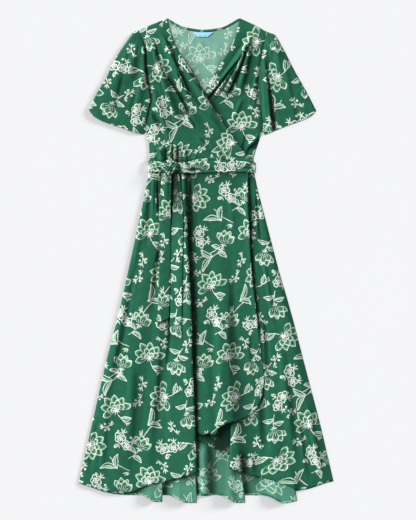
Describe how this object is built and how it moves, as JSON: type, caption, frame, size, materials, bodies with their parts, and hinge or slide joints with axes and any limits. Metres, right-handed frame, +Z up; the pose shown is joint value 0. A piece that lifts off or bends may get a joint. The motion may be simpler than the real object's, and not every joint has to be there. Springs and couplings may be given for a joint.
{
  "type": "wrap dress laid flat",
  "caption": "Midi wrap dress with flutter sleeves, a draped surplice bodice, a tied waist sash and a longer fluted back hem, laid flat on its back.",
  "frame": {"origin": "centre of the dress's footprint on the surface it lies on", "axes": "+Y towards the neck, +X towards the wearer's left, +Z up from the surface through the front of the dress"},
  "size_m": [0.6869, 1.3067, 0.0192],
  "materials": {
    "printed_cloth": "matt crepe with a small floral print",
    "cloth_reverse": "matt, the paler reverse of the printed crepe shows on its upper side",
    "label_cloth": "bare woven satin label"
  },
  "bodies": {
    "root": {"back_bodice": "cloth_reverse", "back_skirt": "cloth_reverse", "back_neck_binding": "printed_cloth", "front_bodice_right": "printed_cloth", "front_bodice_left": "printed_cloth", "sleeve_right": "printed_cloth", "sleeve_left": "printed_cloth", "skirt_front_outer": "printed_cloth", "skirt_front_inner": "printed_cloth", "sash_front": "printed_cloth", "sash_back": "printed_cloth", "sash_knot": "printed_cloth", "sash_end_short": "printed_cloth", "sash_end_long": "printed_cloth", "neck_label": "label_cloth"}
  },
  "joints": []
}
